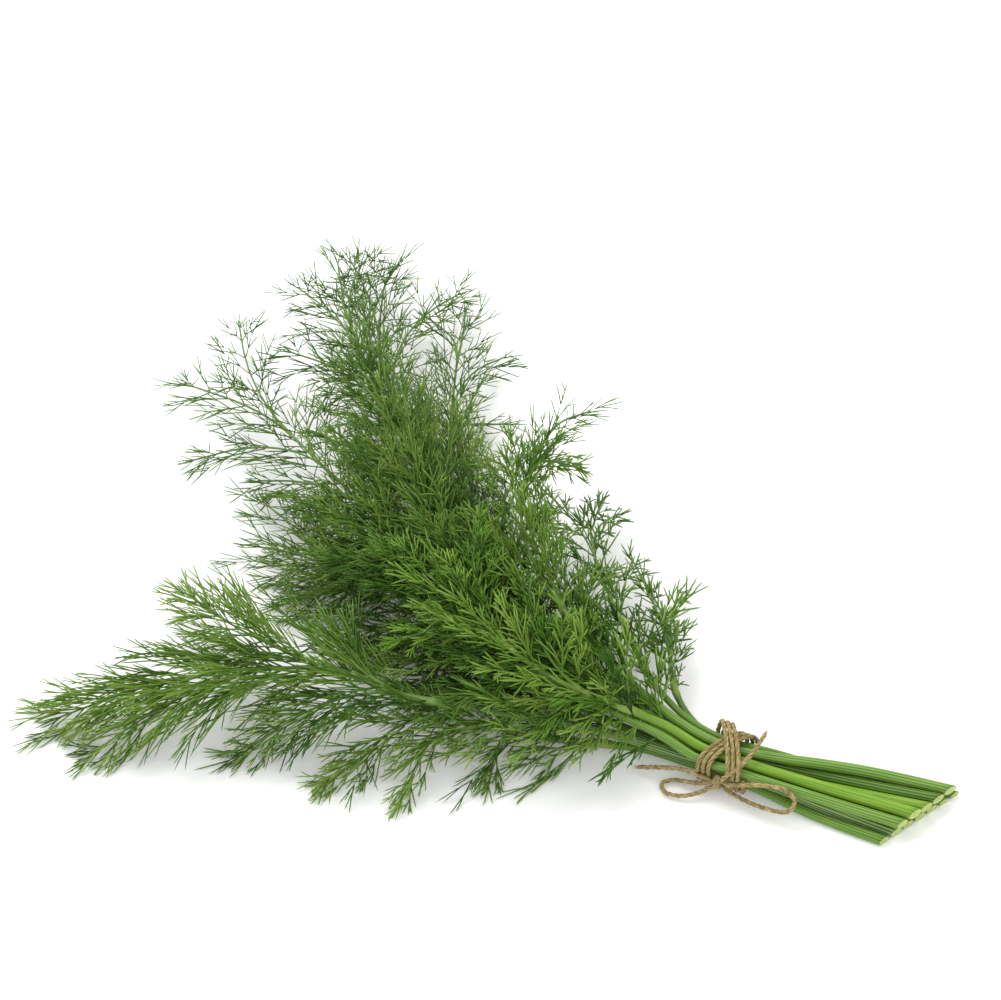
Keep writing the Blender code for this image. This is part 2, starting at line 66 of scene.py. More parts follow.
camera = bpy.data.objects.new("camera", lens)
camera.location = look_at + back * distance
camera.rotation_euler = back.to_track_quat("Z", "Y").to_euler()
bpy.context.scene.collection.objects.link(camera)
bpy.context.scene.camera = camera

# ---- Table and light ----------------------------------------------------------------------
# A white matt table top in a white room, with one big soft window light from the left and
# behind and a weak one from the front right.
bpy.ops.object.select_all(action="DESELECT")
bpy.ops.mesh.primitive_plane_add(size=8.0, location=(0, 0, 0))
table = bpy.context.object
table.name = "table_top"


def srgb(red, green, blue):
    """A paint colour as Blender's linear values, from the usual 0 to 255 ones."""
    return tuple(((v / 255 + 0.055) / 1.055)**2.4 for v in (red, green, blue)) + (1.0,)


def finish(name, roughness, gloss):
    """A new material, with its node tree and its main shader."""
    made = bpy.data.materials.new(name)
    made.use_nodes = True
    shader = made.node_tree.nodes["Principled BSDF"]
    shader.inputs["Roughness"].default_value = roughness
    shader.inputs["Specular IOR Level"].default_value = gloss
    return made, made.node_tree, shader


white, _, shader = finish("table_white", 0.7, 0.1)
shader.inputs["Base Color"].default_value = srgb(249, 249, 249)
shader.inputs["Emission Color"].default_value = (1.0, 1.0, 1.0, 1.0)
shader.inputs["Emission Strength"].default_value = 0.12
table.data.materials.append(white)

room = bpy.data.worlds.new("white_room")
bpy.context.scene.world = room
room.use_nodes = True
walls = room.node_tree.nodes["Background"]
walls.inputs["Color"].default_value = (1, 1, 1, 1)
walls.inputs["Strength"].default_value = 0.90
bpy.context.scene.view_settings.view_transform = "Standard"


def soft_light(name, place, size, power):
    """A square light that faces the bunch."""
    lamp = bpy.data.lights.new(name, "AREA")
    lamp.size = size
    lamp.energy = power
    light = bpy.data.objects.new(name, lamp)
    light.location = place
    light.rotation_euler = Vector(place).to_track_quat("Z", "Y").to_euler()
    bpy.context.scene.collection.objects.link(light)


soft_light("window", (-1.2, 0.7, 1.7), 1.5, 38.0)
soft_light("fill", (0.9, -1.3, 1.3), 1.4, 4.0)

# ---- Bow: the two free halves of the twine ------------------------------------------------
# Jute twine of three plies, tied in a bow in front of the stems. Each half leaves the knot as a
# loop, comes back through it and ends as a short cut tail on the other side.
MM = 0.001
TIE_AT = np.array((84.7, -41.7, 0.0))  # the tie; routes are in millimetres from it
TWINE = 1.55          # diameter of the twine
PLY_TURN = 6.4        # length of one turn of the plies
FIBRES = 1.6          # loose fibres on each millimetre
KNOT_AT = (0.4, -10.2, 6.8)
UPPER = (KNOT_AT[0], KNOT_AT[1], 8.0)  # a loop leaves the knot here, and comes back at LOWER
LOWER = (KNOT_AT[0], KNOT_AT[1], 5.6)
RIGHT_TAIL = [KNOT_AT, (2.0, -10.7, 9.6), (3.8, -9.9, 12.4), (6.6, -7.2, 14.8), (8.8, -1.0, 16.4),
              (10.0, 6.0, 17.4)]
LEFT_TAIL = [KNOT_AT, (-5, -10.4, 7.2), (-12, -9.8, 6.6), (-19, -10.6, 4.8), (-26, -12.0, 3.0)]
LEFT_LOOP = [UPPER, (-4.5, -11.2, 4.8), (-10, -11.2, 2.8), (-14, -11.6, 1.9), (-16.9, -14.0, 1.5),
             (-14.6, -16.8, 1.5), (-9.5, -16.4, 1.8), (-4.5, -13.6, 2.8), LOWER]
RIGHT_LOOP = [UPPER, (5.5, -11.0, 9.0), (12, -10.3, 11.6), (18, -9.2, 12.6), (22.6, -8.4, 12.0),
              (26.2, -9.6, 9.4), (24.2, -12.2, 6.0), (15.5, -12.2, 4.3), (7.5, -11.6, 4.6), LOWER]


def smooth_route(points, step):
    """A smooth curve through the points, read at even steps."""
    p = np.array(points, float)
    p = np.vstack((2 * p[0] - p[1], p, 2 * p[-1] - p[-2]))
    fine = []
    for a, b, c, d in zip(p, p[1:], p[2:], p[3:]):
        k = math.sqrt(np.linalg.norm(c - b))
        m1 = (c - a) / (math.sqrt(np.linalg.norm(b - a)) + k) * k
        m2 = (d - b) / (math.sqrt(np.linalg.norm(d - c)) + k) * k
        for u in np.linspace(0, 1, 16, endpoint=False):
            h = (2 * u**3 - 3 * u**2 + 1, u**3 - 2 * u**2 + u, 3 * u**2 - 2 * u**3, u**3 - u**2)
            fine.append(h[0] * b + h[1] * m1 + h[2] * c + h[3] * m2)
    fine = np.array(fine + [p[-2]])
    run = np.concatenate(([0], np.cumsum(np.sqrt((np.diff(fine, axis=0)**2).sum(1)))))
    at = np.linspace(0, run[-1], max(2, round(run[-1] / step)) + 1)
    return np.stack([np.interp(at, run, fine[:, k]) for k in range(3)], 1)


def travel(line):
    """The distance along a line at each of its points."""
    return np.concatenate(([0], np.cumsum(np.linalg.norm(np.diff(line, axis=0), axis=1))))


def carried_frames(line):
    """Directions along a line and square to it, carried on without twist."""
    along = np.gradient(line, axis=0)
    along /= np.linalg.norm(along, axis=1)[:, None]
    start = np.array((0.0, 0.0, 1.0)) if abs(along[0, 2]) < 0.9 else np.array((0.0, 1.0, 0.0))
    side = [np.cross(along[0], start)]
    side[0] /= np.linalg.norm(side[0])
    for way in along[1:]:
        s = side[-1] - way * (side[-1] @ way)
        side.append(s / np.linalg.norm(s))
    side = np.array(side)
    return along, side, np.cross(along, side)


def swept(line, radii, sides, ridge=0.0):
    """Vertices and faces of a tube along a line. With a ridge, every second edge stands out."""
    along, side, over = carried_frames(line)
    angle = 2 * math.pi * np.arange(sides) / sides
    out = 1 + ridge * np.cos(math.pi * np.arange(sides))
    ring = side[:, None] * np.cos(angle)[None, :, None] + over[:, None] * np.sin(angle)[None, :, None]
    verts = line[:, None] + ring * (radii[:, None] * out[None])[:, :, None]
    n = len(line)
    k, j = np.meshgrid(np.arange(n - 1), np.arange(sides), indexing="ij")
    a, b = k * sides + j, k * sides + (j + 1) % sides
    quads = np.stack((a, b, b + sides, a + sides), -1).reshape(-1, 4)
    return verts.reshape(-1, 3), quads


class Soup:
    """Collects vertices, faces, a texture place and marks for each vertex into one mesh."""

    def __init__(self):
        self.verts, self.faces, self.uv, self.marks, self.count = [], [], [], [], 0

    def add(self, verts, faces, uv, marks):
        """Faces are an array of triangles or quads; uv and marks are one row for each vertex."""
        self.verts.append(verts)
        self.faces.extend((np.asarray(faces) + self.count).tolist())
        self.uv.append(uv)
        self.marks.append(marks)
        self.count += len(verts)

    def add_tube(self, line, radii, sides, marks, ridge=0.0, ribs=1.0):
        """A closed tube; across it the texture place counts ribs, along it millimetres."""
        verts, quads = swept(line, radii, sides, ridge)
        across = np.tile(np.arange(sides) / sides * ribs, len(line))
        down = np.repeat(travel(line), sides)
        base = self.count
        self.add(verts, quads, np.stack((across, down), 1), np.repeat(marks, sides, axis=0))
        self.faces.append([base + j for j in reversed(range(sides))])
        self.faces.append([self.count - sides + j for j in range(sides)])

    def piece(self, name, mark_names, material):
        """The finished mesh object, in metres from the bunch's middle."""
        mesh = bpy.data.meshes.new(name)
        verts = (np.concatenate(self.verts) + TIE_AT) * MM
        mesh.from_pydata(verts.tolist(), [], self.faces)
        places = np.concatenate(self.uv)
        loops = np.empty(len(mesh.loops), np.int32)
        mesh.loops.foreach_get("vertex_index", loops)
        layer = mesh.uv_layers.new(name="UVMap")
        layer.data.foreach_set("uv", places[loops].astype(np.float32).ravel())
        marks = np.concatenate(self.marks)
        for k, mark in enumerate(mark_names):
            data = mesh.attributes.new(mark, "FLOAT", "POINT")
            data.data.foreach_set("value", marks[:, k].astype(np.float32))
        mesh.materials.append(material)
        mesh.shade_smooth()
        made = bpy.data.objects.new(name, mesh)
        bpy.context.scene.collection.objects.link(made)
        return made


def add_node(tree, kind, values=(), **settings):
    """A new node with its settings, then its input values as (input, value) pairs."""
    node = tree.nodes.new("ShaderNode" + kind)
    for setting, choice in settings.items():
        setattr(node, setting, choice)
    for name, value in values:
        node.inputs[name].default_value = value
    return node


def shades(node, first, last, *between):
    """The colours of a ramp, each with its place on it."""
    ramp = node.color_ramp.elements
    for element, (place, colour) in zip(ramp, (first, last)):
        element.position, element.color = place, colour
    for place, colour in between:
        ramp.new(place).color = colour


def wire(tree, *joins):
    """Joins nodes: each row is a node, its output, the next node and its input."""
    for start, output, end, name in joins:
        tree.links.new(start.outputs[output], end.inputs[name])


def jute_finish():
    """Straw-coloured bast fibres: streaks along each ply, each ply with its own tone."""
    made, tree, shader = finish("jute_twine", 0.85, 0.15)
    place = add_node(tree, "UVMap", uv_map="UVMap")
    stretch = add_node(tree, "Mapping", [("Scale", (9.0, 0.45, 1.0))])
    streak = add_node(tree, "TexNoise", [("Scale", 1.0), ("Detail", 5.0), ("Roughness", 0.65)])
    shade = add_node(tree, "ValToRGB")
    shades(shade, (0.30, srgb(84, 64, 30)), (0.70, srgb(220, 204, 160)), (0.49, srgb(154, 136, 86)))
    tone = add_node(tree, "Attribute", attribute_name="tone")
    darken = add_node(tree, "Mix", [("Factor", 1.0)], data_type="RGBA", blend_type="MULTIPLY")
    fade = add_node(tree, "MapRange", [("To Min", 0.62), ("To Max", 1.12)])
    bump = add_node(tree, "Bump", [("Strength", 0.55), ("Distance", 0.00012)])
    wire(tree,
         (place, "UV", stretch, "Vector"), (stretch, "Vector", streak, "Vector"),
         (streak, "Fac", shade, "Fac"), (tone, "Fac", fade, "Value"),
         (shade, "Color", darken, "A"), (fade, "Result", darken, "B"),
         (darken, "Result", shader, "Base Color"),
         (streak, "Fac", bump, "Height"), (bump, "Normal", shader, "Normal"))
    return made


jute = jute_finish()


def loose_fibre(soup, root, way, bend, radii, tone):
    """One fibre that stands out of the twine, thins to its tip, and stays off the table."""
    t = np.linspace(0, 1, 4)[:, None]
    fibre = root + way * t + bend * t**2
    fibre[:, 2] = np.maximum(fibre[:, 2], 0.06)
    soup.add_tube(fibre, np.array(radii), 3, np.full((4, 1), tone))


def plied(soup, line, rng, frayed=False):
    """Three plies of fibre laid round each other, with loose fibres standing out of them."""
    run = travel(line)
    along, side, over = carried_frames(line)
    places = np.arange(0, run[-1] + 6, 3.0)
    wobble = np.interp(run, places, [rng.uniform(-1, 1) for _ in places])
    turn = 2 * math.pi * run / PLY_TURN + 0.35 * wobble
    for ply in range(3):
        a = turn + ply * 2 * math.pi / 3
        ply_line = line + (side * np.cos(a)[:, None] + over * np.sin(a)[:, None]) * TWINE * 0.235
        thick = TWINE * 0.262 * (1 + 0.10 * np.roll(wobble, 7 * ply))
        if frayed:
            thick[-1] *= 0.55
        tone = 0.62 + 0.3 * wobble * (1 if ply else -1)
        soup.add_tube(ply_line, thick, 8, tone[:, None])
    for _ in range(int(run[-1] * FIBRES)):
        at = rng.uniform(0, run[-1])
        k = min(int(np.searchsorted(run, at)), len(line) - 1)
        a = rng.uniform(0, 2 * math.pi)
        out = side[k] * math.cos(a) + over[k] * math.sin(a)
        lean = rng.uniform(0.9, 1.9)
        way = out * math.cos(lean * 0.55) + along[k] * rng.choice((-1, 1)) * math.sin(lean * 0.75)
        root = line[k] + out * TWINE * 0.40
        length = rng.uniform(0.5, 1.7)
        bend = out * rng.uniform(-0.25, 0.15) * length
        loose_fibre(soup, root, way * length, bend, (0.045, 0.04, 0.03, 0.012), rng.uniform(0.5, 1.0))


def bow_half(name, loop, tail, seed):
    """One half of the bow as a free cord: its loop, the way through the knot, and its tail."""
    route = loop[:-1] + [tuple(np.add(loop[-1], (0.0, 0.0, 0.2)))] + tail[1:]
    line = smooth_route(route, 0.5)
    soup = Soup()
    rng = random.Random(seed)
    plied(soup, line, rng, frayed=True)
    along = line[-1] - line[-2]
    for _ in range(14):
        spread = np.array([rng.uniform(-1, 1) for _ in range(3)])
        way = along / np.linalg.norm(along) + spread * 0.35
        root = line[-1] + spread * TWINE * 0.22
        loose_fibre(soup, root, way * rng.uniform(0.6, 1.5), 0.0, (0.09, 0.07, 0.05, 0.02),
                    rng.uniform(0.5, 1.0))
    half = soup.piece(name, ["tone"], jute)
    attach(half, "root")
    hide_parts("twine")


bow_half("twine_bow_left", LEFT_LOOP, RIGHT_TAIL, 3)
bow_half("twine_bow_right", RIGHT_LOOP, LEFT_TAIL, 5)

# ---- Stems and frond stalks ---------------------------------------------------------------
# Twelve cut dill stems lie in three rows through the tie and fan out to their fronds. Each is
# green, with fine ribs along it, and has a pale joint wherever a frond's stalk leaves it.
GAP = 0.3             # room between neighbours
SLACK = 0.3           # room between the stems and the twine
STEP = 14.0           # from one point of a route to the next
ROW_PITCH = 3.0       # height of a row in the tie above the one below
ROW_LEAN = 0.9        # and how much nearer the front it lies
TIE_HALF = 9.0        # half the straight length through the tie
TIE_FLOOR = TWINE + 2 * GAP + SLACK  # height of the lowest stem's underside in the tie
CUT_NEAR = 56.0       # from the tie to the nearest cut end
CUT_FIRST = -6.0      # where that one lies to the side
CUT_PITCH = 4.1       # from one cut end to the next
CUT_SLANT = 0.6       # slant of the cut
FLARE = 1.24          # how much thicker a stem is at its cut end
FLAT = 0.3            # depth of the flat where a stem rests on the table
TIP = 0.5             # a stem's radius at its tip
STALK_TIP = 0.42      # and a frond stalk's

# Each stem: row in the tie, radius, layer at the cut, order at the cut, leaf colour, where its end
# frond starts, the stretch below it that has low leaves, how long the leaves are (1 is usual), its
# route from the tie to its tip, and its side fronds as (distance from the tie, tip).
STEMS = {
    "B": dict(row=0, radius=1.4, layer=0, order=0, green="mid", frond=62, low=(40, 62), full=0.88,
              route=[(-28, -5, 4), (-46, -11, 5), (-66, -19, 9), (-84, -23, 12), (-99, -31, 12),
                     (-107, -44, 7), (-115, -55, 2)],
              sides=[(84, (-91, -54, 1)), (66, (-68, -36, 1)), (44, (-58, -22, 2))]),
    "D": dict(row=0, radius=1.45, layer=0, order=2, green="deep", frond=100, low=(36, 100), full=1.15,
              route=[(-45, -1, 8), (-90, 8, 11), (-121, 17, 13), (-141, 17, 13), (-160, 21, 9),
                     (-178, 22, 4)],
              sides=[(124, (-182, 37, 9)), (112, (-160, 5, 3)), (88, (-124, -6, 5)),
                     (64, (-104, -14, 5))]),
    "F": dict(row=0, radius=1.45, layer=0, order=3, green="deep", frond=106, low=(50, 106), full=1.0,
              route=[(-46, 7, 10), (-104, 33, 19), (-146, 75, 22), (-168, 104, 20), (-183, 140, 13),
                     (-185, 156, 9)],
              sides=[(190, (-160, 154, 6)), (138, (-168, 82, 34)), (208, (-200, 148, 14)),
                     (100, (-132, 62, 28))]),
    "G": dict(row=0, radius=1.4, layer=0, order=4, green="mid", frond=98, low=(50, 98), full=0.95,
              route=[(-45, 12, 7), (-84, 33, 11), (-126, 73, 12), (-143, 110, 12), (-149, 130, 9),
                     (-155, 147, 5)],
              sides=[(172, (-134, 134, 4)), (154, (-124, 106, 2)), (124, (-146, 84, 20)),
                     (190, (-164, 136, 9))]),
    "A": dict(row=1, radius=1.6, layer=0, order=1, green="mid", frond=98, low=(46, 74), full=1.0,
              route=[(-40, -8, 10), (-74, -20, 18), (-102, -29, 23), (-119, -28, 24), (-150, -38, 23),
                     (-180, -52, 15), (-196, -62, 9), (-206, -68, 4)],
              sides=[(124, (-190, -75, 2)), (126, (-187, -12, 14)), (92, (-146, -56, 1)),
                     (108, (-128, -18, 30))]),
    "C": dict(row=1, radius=1.5, layer=1, order=3, green="deep", frond=130, low=(38, 130), full=1.0,
              route=[(-44, 2, 13), (-90, 10, 20), (-127, 29, 23), (-164, 49, 22), (-183, 60, 20),
                     (-200, 68, 16), (-218, 73, 11), (-231, 77, 6)],
              sides=[(168, (-214, 48, 4)), (196, (-222, 103, 13)), (136, (-187, 44, 10)),
                     (178, (-176, 76, 24))]),
    "E": dict(row=1, radius=1.5, layer=1, order=4, green="deep", frond=118, low=(42, 118), full=1.0,
              route=[(-45, 5, 16), (-92, 16, 26), (-125, 42, 30), (-156, 80, 28), (-184, 113, 22),
                     (-203, 144, 14)],
              sides=[(166, (-197, 92, 22)), (202, (-209, 124, 18)), (128, (-166, 52, 34)),
                     (226, (-195, 152, 12))]),
    "J": dict(row=1, radius=1.1, layer=0, order=6, green="mid", frond=26, low=(26, 26), full=0.54,
              route=[(-15, 8, 8), (-23, 14, 9), (-31, 28, 12), (-36, 42, 11), (-39, 56, 7)],
              sides=[(24, (-40, 46, 4)), (36, (-57, 60, 12)), (40, (-45, 47, 15))]),
    "M": dict(row=2, radius=1.45, layer=1, order=1, green="deep", frond=86, low=(28, 86), full=1.1,
              route=[(-26, -4, 15), (-60, -5, 22), (-84, 2, 28), (-108, 14, 30), (-135, 24, 26),
                     (-160, 34, 18)],
              sides=[(54, (-93, -21, 14)), (72, (-104, -3, 40)), (102, (-142, 12, 24)),
                     (126, (-157, 42, 24))]),
    "L": dict(row=2, radius=1.65, layer=1, order=2, green="bright", frond=66, low=(27, 66), full=1.0,
              route=[(-26, -2, 16), (-54, -8, 27), (-76, -6, 36), (-98, 3, 40), (-124, 15, 37)],
              sides=[(54, (-78, 15, 40)), (78, (-108, -16, 33)), (90, (-102, 37, 40)),
                     (42, (-58, 18, 28))]),
    "H": dict(row=2, radius=1.5, layer=1, order=5, green="bright", frond=60, low=(32, 60), full=0.85,
              route=[(-36, 7, 18), (-63, 19, 26), (-87, 39, 32), (-96, 61, 34), (-97, 79, 33),
                     (-95, 95, 30), (-90, 103, 27)],
              sides=[(108, (-117, 72, 26)), (124, (-86, 80, 25)), (72, (-88, 58, 22)),
                     (52, (-62, 44, 20))]),
    "I": dict(row=2, radius=1.1, layer=0, order=5, green="mid", frond=46, low=(26, 46), full=0.7,
              route=[(-28, 11, 14), (-48, 29, 18), (-63, 46, 19), (-73, 62, 18), (-77, 79, 11)],
              sides=[(72, (-90, 70, 18)), (58, (-56, 62, 8)), (88, (-70, 77, 10))]),
}


def tie_places():
    """Where each stem passes through the tie: rows of stems laid side by side."""
    places = {}
    for row in range(3):
        names = [name for name in STEMS if STEMS[name]["row"] == row]
        width = sum(2 * STEMS[name]["radius"] + GAP for name in names)
        y = -width / 2 - ROW_LEAN * (row - 1)
        for name in names:
            r = STEMS[name]["radius"]
            places[name] = (y + GAP / 2 + r, TIE_FLOOR + 1.5 + row * ROW_PITCH)
            y += 2 * r + GAP
    return places


def stem_route(name, place):
    """A stem from its cut end, through the tie, to the tip of its end frond."""
    stem = STEMS[name]
    y, z = place
    cut_y = CUT_FIRST + (stem["order"] + stem["layer"] / 2) * CUT_PITCH
    cut_x = CUT_NEAR + (cut_y - CUT_FIRST) * CUT_SLANT
    wide = stem["radius"] * FLARE
    cut_z = wide - FLAT if stem["layer"] == 0 else wide + 3.4
    middle = (cut_x * 0.5, y + (cut_y - y) * 0.42, z + (cut_z - z) * 0.55)
    straight = [(TIE_HALF, y, z), (-TIE_HALF, y, z)]
    return smooth_route([(cut_x, cut_y, cut_z), middle] + straight + stem["route"], STEP)


def side_route(root, along, tip):
    """A frond that leaves its stem along it, bends away and droops to its tip."""
    tip = np.array(tip, float)
    reach = np.linalg.norm(tip - root)
    swing = root + along * reach * 0.42 + np.array((0, 0, 0.10 * reach))
    u = np.linspace(0, 1, max(3, round(reach / STEP) + 1))[:, None]
    return (1 - u)**2 * root + 2 * u * (1 - u) * swing + u**2 * tip


def lay_out():
    """Every stem and frond stalk as a dict: its stem, points, radii, the distance of each point
    from the tie or the joint, where leaves start, its joint, and its point in the tie."""
    places = tie_places()
    axes = []
    for name, stem in STEMS.items():
        points = stem_route(name, places[name])
        step = np.linalg.norm(points[1] - points[0])
        at_tie = int(np.argmin(np.abs(points[:10, 0])))
        run = (np.arange(len(points)) - at_tie) * step
        fade = np.clip((run - 20) / (run[-1] - 20), 0, 1)**0.8
        flare = 1 + (FLARE - 1) * np.clip((-run - TIE_HALF) / 30, 0, 1)
        radii = (stem["radius"] + (TIP - stem["radius"]) * fade) * flare
        axes.append(dict(stem=name, points=points, radii=radii, run=run, leafy=stem["frond"],
                         parent=None, at=at_tie))
        main = len(axes) - 1
        for distance, tip in stem["sides"]:
            i = min(at_tie + round(distance / step), len(points) - 2)
            along = points[i + 1] - points[i]
            side = side_route(points[i], along / np.linalg.norm(along), tip)
            length = np.linalg.norm(np.diff(side, axis=0), axis=1).sum()
            u = np.linspace(0, 1, len(side))
            thick = min(1.0, radii[i] * 0.7)
            axes.append(dict(stem=name, points=side, radii=thick + (STALK_TIP - thick) * u,
                             run=u * length, leafy=0.25 * length, parent=(main, i), at=0))
    return axes


def nearest(p, q, a, b):
    """For segment pairs p-q and a-b: the nearest places along each, and the step between them."""
    d1, d2, r = q - p, b - a, p - a
    aa, ee, ff = (d1 * d1).sum(-1), (d2 * d2).sum(-1), (d2 * r).sum(-1)
    cc, bb = (d1 * r).sum(-1), (d1 * d2).sum(-1)
    den = aa * ee - bb * bb
    s = np.where(den > 1e-9, np.clip((bb * ff - cc * ee) / np.maximum(den, 1e-9), 0, 1), 0.5)
    t = (bb * s + ff) / ee
    s = np.where(t < 0, np.clip(-cc / aa, 0, 1), np.where(t > 1, np.clip((bb - cc) / aa, 0, 1), s))
    t = np.clip(t, 0, 1)
    return s, t, (p + d1 * s[..., None]) - (a + d2 * t[..., None])


def settle(axes):
    """Ease the stems and fronds apart until all of them just clear one another."""
    rounds = 240
    count = [len(axis["points"]) for axis in axes]
    start = np.concatenate(([0], np.cumsum(count)))
    points = np.concatenate([axis["points"] for axis in axes])
    radii = np.concatenate([axis["radii"] for axis in axes])
    run = np.concatenate([axis["run"] for axis in axes])
    owner = np.repeat(np.arange(len(axes)), count)
    names = list(STEMS)
    stem = np.array([names.index(axes[k]["stem"]) for k in owner])
    is_main = np.array([axes[k]["parent"] is None for k in owner])
    home = points.copy()
    last = np.isin(np.arange(len(points)), start[1:] - 1)
    seg = np.nonzero(~last)[0]
    inner = np.nonzero(~last & ~np.isin(np.arange(len(points)), start[:-1]))[0]
    in_tie = is_main & (np.abs(run) < TIE_HALF + 5)
    floor = np.where(is_main & (run < 0), radii - FLAT, radii) + in_tie * TIE_FLOOR
    free = np.where(in_tie, 0.5, 1.0)[:, None]
    size = np.sqrt(((points[seg + 1] - points[seg])**2).sum(1))
    roots = np.array([(start[k], start[axis["parent"][0]] + axis["parent"][1])
                      for k, axis in enumerate(axes) if axis["parent"]])
    for turn in range(rounds):
        if turn % 12 == 0:
            middle = (points[seg] + points[seg + 1]) / 2
            apart = np.sqrt(((middle[:, None] - middle[None])**2).sum(-1))
            near = np.triu(apart < STEP + 8, 1)
            same = stem[seg][:, None] == stem[seg][None]
            beyond = (is_main | (run > STEP))[seg]
            other = (owner[seg][:, None] != owner[seg][None]) & beyond[:, None] & beyond[None]
            i, j = np.nonzero(near & (~same | other))
            i, j = seg[i], seg[j]
        s, t, gap = nearest(points[i], points[i + 1], points[j], points[j + 1])
        dist = np.sqrt((gap * gap).sum(1))
        want = radii[i] * (1 - s) + radii[i + 1] * s + radii[j] * (1 - t) + radii[j + 1] * t
        want += 1.35 * GAP
        hit = dist < want
        push = np.zeros_like(points)
        share = np.zeros(len(points))
        way = np.where(dist[hit, None] > 0.001, gap[hit] / np.maximum(dist[hit, None], 0.001),
                       (0.0, 0.0, 1.0))
        depth = (want - dist)[hit] * 0.5
        s, t = s[hit], t[hit]
        for at, sign, part in ((i[hit], 1, 1 - s), (i[hit] + 1, 1, s),
                               (j[hit], -1, 1 - t), (j[hit] + 1, -1, t)):
            np.add.at(push, at, way * (sign * depth * part)[:, None])
            np.add.at(share, at, part)
        points = points + 1.2 * push / np.maximum(share, 1)[:, None] * free
        ease = max(0.0, 1 - turn / (0.7 * rounds))
        points = points + (home - points) * 0.03 * ease
        shift = points - home
        smooth = (shift[inner - 1] + shift[inner + 1]) / 2 - shift[inner]
        points[inner] += 0.25 * (0.2 + ease) * smooth
        span = points[seg + 1] - points[seg]
        long = np.sqrt((span * span).sum(1))
        fix = span * ((long - size) / long * 0.3)[:, None]
        np.add.at(points, seg, fix)
        np.add.at(points, seg + 1, -fix)
        points[:, 2] = np.maximum(points[:, 2], floor)
        points[roots[:, 0]] = points[roots[:, 1]]
    for k, axis in enumerate(axes):
        axis["points"] = points[start[k]:start[k + 1]]
    return axes


def smoothed(line, radii, step):
    """A line and its radii, read again at short even steps."""
    fine = smooth_route(line, step)
    at = np.linspace(0, travel(line)[-1], len(fine))
    return fine, np.interp(at, travel(line), radii)


def stem_finish(name, groove, rib, joint, gloss, mottle, crisp):
    """A green skin: pale lines on the ribs, mottled along them, paler at the joints, with fine
    green stalks and a pale cut end. A small crisp makes the lines sharp."""
    made, tree, shader = finish(name, 0.42, gloss)
    place = add_node(tree, "UVMap", uv_map="UVMap")
    stretch = add_node(tree, "Mapping", [("Scale", (0.9, 0.045, 1.0))])
    streak = add_node(tree, "TexNoise", [("Scale", 1.0), ("Detail", 3.0)])
    lines = add_node(tree, "TexWave", [("Scale", 2 * math.pi / 20), ("Phase Offset", math.pi)],
                     wave_type="BANDS", bands_direction="X", wave_profile="SIN")
    blend = add_node(tree, "Mix", [("Factor", mottle)], data_type="FLOAT")
    skin = add_node(tree, "ValToRGB")
    shades(skin, (0.5 - crisp, groove), (0.5 + crisp, rib))
    at_joint = add_node(tree, "Attribute", attribute_name="pale")
    jointed = add_node(tree, "Mix", [("B", joint)], data_type="RGBA")
    at_frond = add_node(tree, "Attribute", attribute_name="frond")
    stalk = add_node(tree, "Mix", [("B", srgb(84, 116, 46))], data_type="RGBA")
    at_cut = add_node(tree, "Attribute", attribute_name="cut")
    flesh = add_node(tree, "Mix", [("B", srgb(186, 200, 118))], data_type="RGBA")
    wire(tree,
         (place, "UV", stretch, "Vector"), (stretch, "Vector", streak, "Vector"),
         (place, "UV", lines, "Vector"), (lines, "Fac", blend, "A"), (streak, "Fac", blend, "B"),
         (blend, "Result", skin, "Fac"),
         (skin, "Color", stalk, "A"), (at_frond, "Fac", stalk, "Factor"),
         (stalk, "Result", jointed, "A"), (at_joint, "Fac", jointed, "Factor"),
         (jointed, "Result", flesh, "A"), (at_cut, "Fac", flesh, "Factor"),
         (flesh, "Result", shader, "Base Color"))
    return made


stem_finishes = {
    "deep": stem_finish("stem_dark", srgb(44, 78, 18), srgb(108, 146, 58), srgb(138, 160, 76),
                        gloss=0.35, mottle=0.45, crisp=0.26),
    "plain": stem_finish("stem_green", srgb(64, 104, 22), srgb(122, 160, 62), srgb(154, 174, 88),
                         gloss=0.35, mottle=0.6, crisp=0.24),
    "ribbed": stem_finish("stem_ribbed", srgb(70, 114, 28), srgb(136, 170, 78), srgb(156, 176, 94),
                          gloss=0.4, mottle=0.55, crisp=0.26),
    "striped": stem_finish("stem_striped", srgb(46, 84, 20), srgb(140, 168, 98), srgb(150, 172, 98),
                           gloss=0.4, mottle=0.55, crisp=0.2),
    "bright": stem_finish("stem_bright", srgb(92, 138, 26), srgb(136, 172, 54), srgb(168, 190, 96),
                          gloss=0.4, mottle=0.75, crisp=0.22),
}
SKINS = {"A": "striped", "B": "plain", "C": "bright", "D": "deep", "E": "deep", "F": "deep", "G": "plain",
         "H": "ribbed", "I": "plain", "J": "deep", "L": "bright", "M": "ribbed"}
SIDES = 24            # edges round a stem; every second one is a rib
RIB = 0.045           # how far a rib stands out, as a share of the radius


def cut_foot(verts, line):
    """Slide a stem's first ring onto the slanting cut, and close it with a rim and a sunk pith."""
    foot = line[0]
    way = (line[0] - line[1]) / np.linalg.norm(line[0] - line[1])
    normal = np.array((1.0, -CUT_SLANT, 0.0)) / math.hypot(1.0, CUT_SLANT)
    ring = verts[:SIDES]
    ring += way * (((foot - ring) @ normal) / (way @ normal))[:, None]
    verts[:, 2] = np.maximum(verts[:, 2], 0.02)
    flesh = foot + (ring - foot) * 0.84
    pith = foot + (ring - foot) * 0.42 - way * 0.35
    return np.concatenate((flesh, pith, [foot - way * 0.45]))


